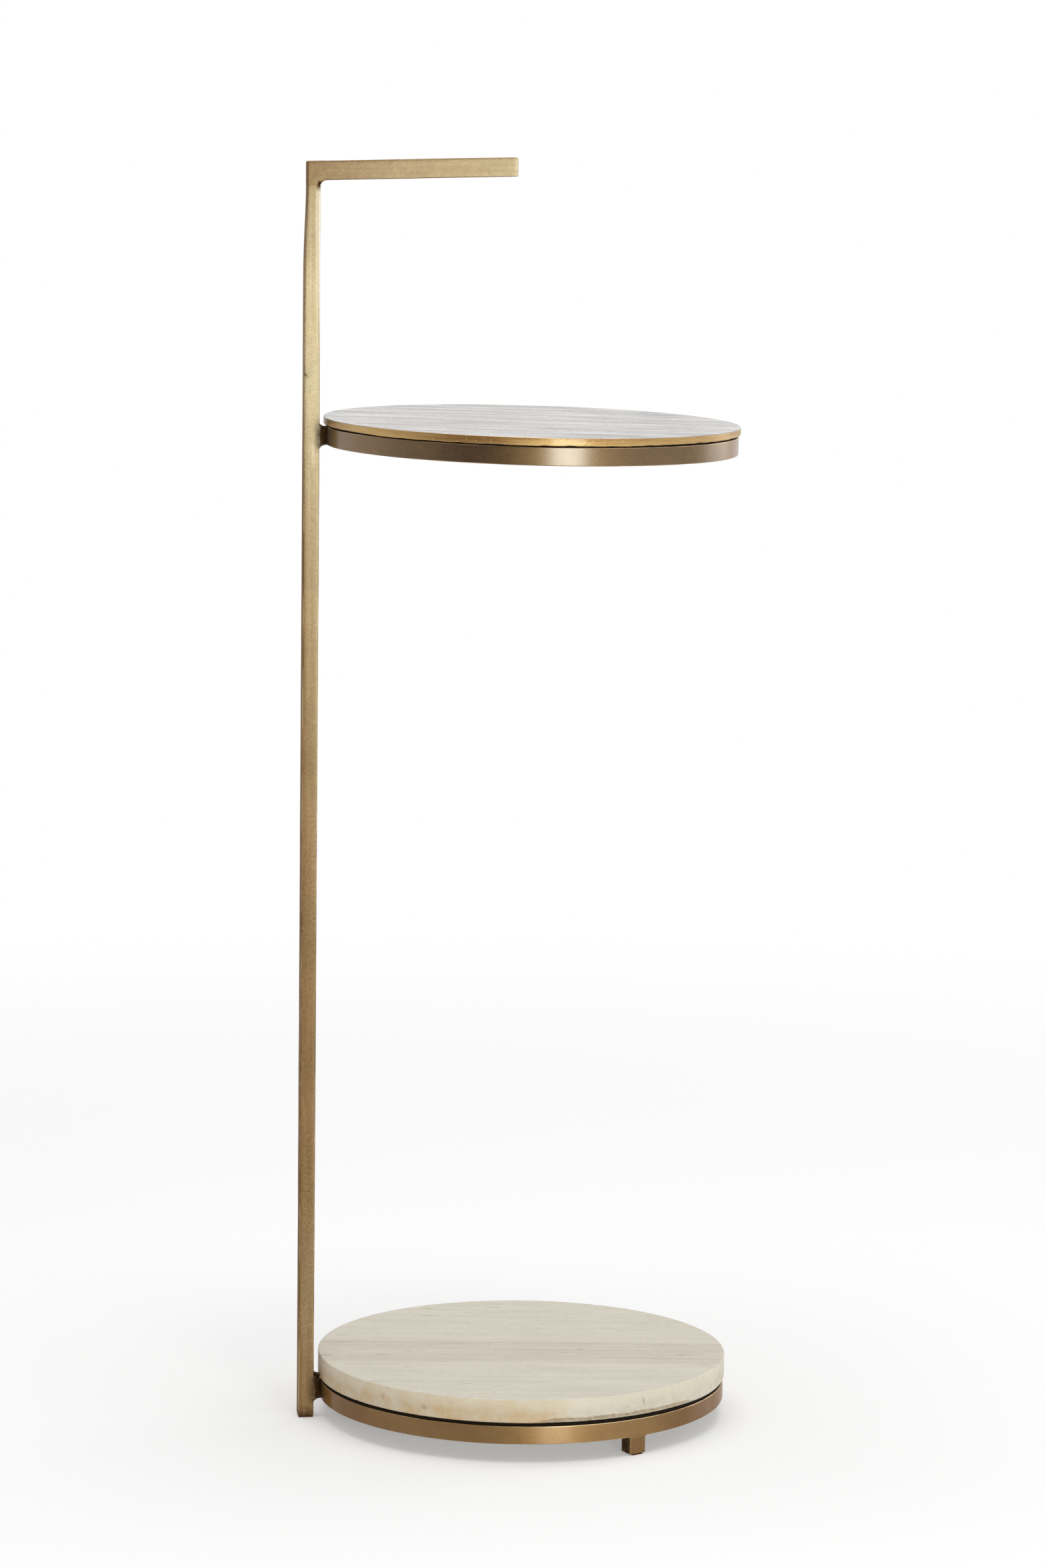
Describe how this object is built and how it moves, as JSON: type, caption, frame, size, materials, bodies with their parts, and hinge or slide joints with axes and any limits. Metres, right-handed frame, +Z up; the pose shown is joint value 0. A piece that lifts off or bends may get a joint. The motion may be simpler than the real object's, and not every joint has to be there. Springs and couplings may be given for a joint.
{
  "type": "wine table",
  "caption": "Slim wine table: a square post with a side handle carries a thin brass top and a pale marble base disc on welded rings.",
  "frame": {"origin": "middle of the table's footprint, on the floor", "axes": "+Z up the post, +X from the post along the handle over the discs, +Y across the handle"},
  "size_m": [0.2419, 0.23, 0.7035],
  "materials": {
    "frame_brass": "aged satin, hand worn",
    "top_brass": "satin, fine straight grain",
    "marble": "honed, fine linear veins",
    "pad_rubber": "matte",
    "screw_steel": "satin",
    "insert_brass": "turned",
    "floor_felt": "felt"
  },
  "bodies": {
    "root": {"post": "frame_brass", "handle_bar": "frame_brass", "upper_neck": "frame_brass", "lower_neck": "frame_brass", "upper_ring": "frame_brass", "lower_ring": "frame_brass", "upper_tab_post": "frame_brass", "upper_tab_front": "frame_brass", "upper_tab_rear": "frame_brass", "lower_tab_post": "frame_brass", "lower_tab_front": "frame_brass", "lower_tab_rear": "frame_brass", "upper_pads": "pad_rubber", "lower_pads": "pad_rubber", "upper_gasket": "pad_rubber", "lower_gasket": "pad_rubber", "upper_screws": "screw_steel", "lower_screws": "screw_steel", "marble_inserts": "insert_brass", "top_disc": "top_brass", "marble_disc": "marble", "front_foot": "frame_brass", "rear_foot": "frame_brass", "post_pad": "floor_felt", "front_foot_pad": "floor_felt", "rear_foot_pad": "floor_felt"}
  },
  "joints": []
}
